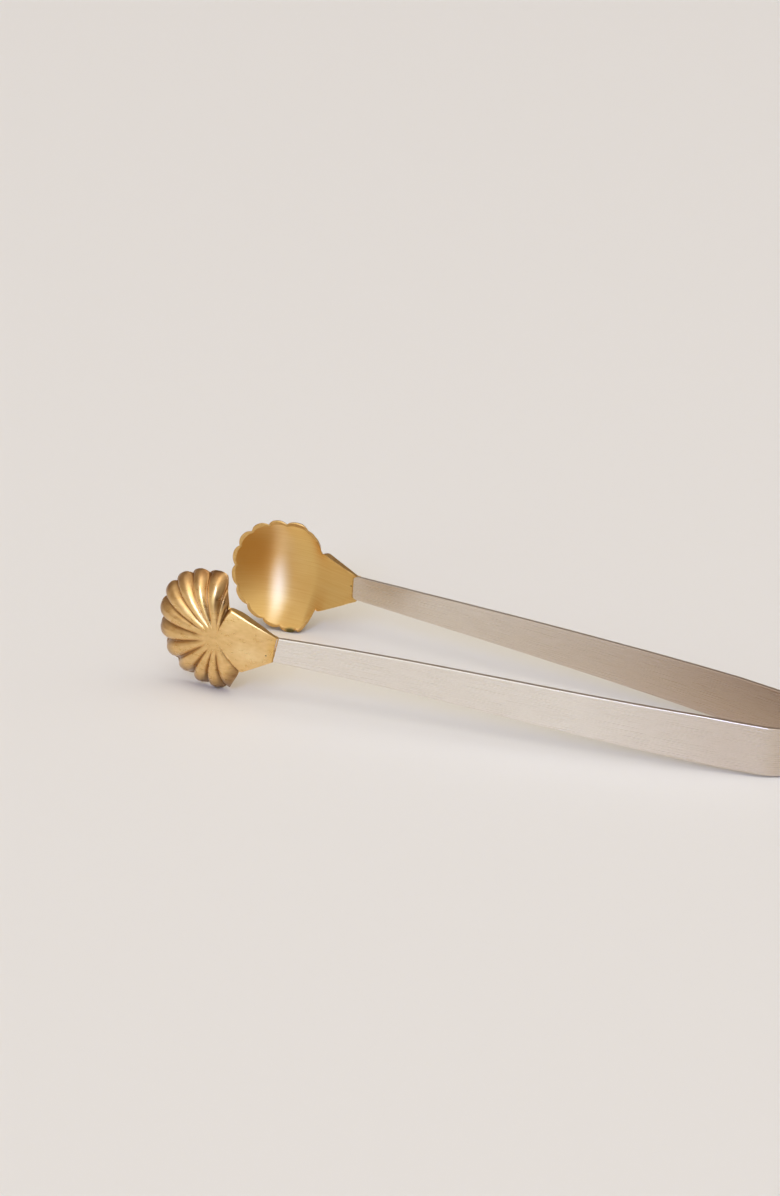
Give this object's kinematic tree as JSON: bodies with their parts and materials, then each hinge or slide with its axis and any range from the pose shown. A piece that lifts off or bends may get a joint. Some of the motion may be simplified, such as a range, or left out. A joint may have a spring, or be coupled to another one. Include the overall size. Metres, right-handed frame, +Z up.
{
  "type": "ice tongs",
  "caption": "Sprung U-shaped ice tongs: a tapered stainless steel strip with a scallop-shaped brass bowl brazed to the end of each arm.",
  "frame": {"origin": "bottom centre of the whole object's box, as it lies at rest on one edge of its strip", "axes": "+X along the tongs from the bow to the shells, +Y to the left arm, +Z up; the XZ plane is the plane of symmetry"},
  "size_m": [0.17, 0.0528, 0.0327],
  "materials": {
    "steel": "satin, brushed along the strip",
    "brass": "cast, satin brushed",
    "braze": "filler metal, filed flush"
  },
  "bodies": {
    "bow": {"bow": "steel"},
    "left_arm": {"left_arm": "steel", "left_braze": "braze", "left_shell": "brass"},
    "right_arm": {"right_arm": "steel", "right_braze": "braze", "right_shell": "brass"}
  },
  "joints": [
    {"name": "left_arm_flex", "type": "hinge", "parent": "bow", "child": "left_arm", "pos_m": [-0.07514, 0.0106, 0.00692], "axis": [0.0734, 0, -0.9973], "range_deg": [0, 6.5], "stiffness_Nm_per_rad": 4},
    {"name": "right_arm_flex", "type": "hinge", "parent": "bow", "child": "right_arm", "pos_m": [-0.07514, -0.0106, 0.00692], "axis": [-0.0734, 0, 0.9973], "range_deg": [0, 6.5], "stiffness_Nm_per_rad": 4}
  ],
  "couplings": [
    {"joint": "right_arm_flex", "follows": "left_arm_flex", "ratio": 1}
  ]
}
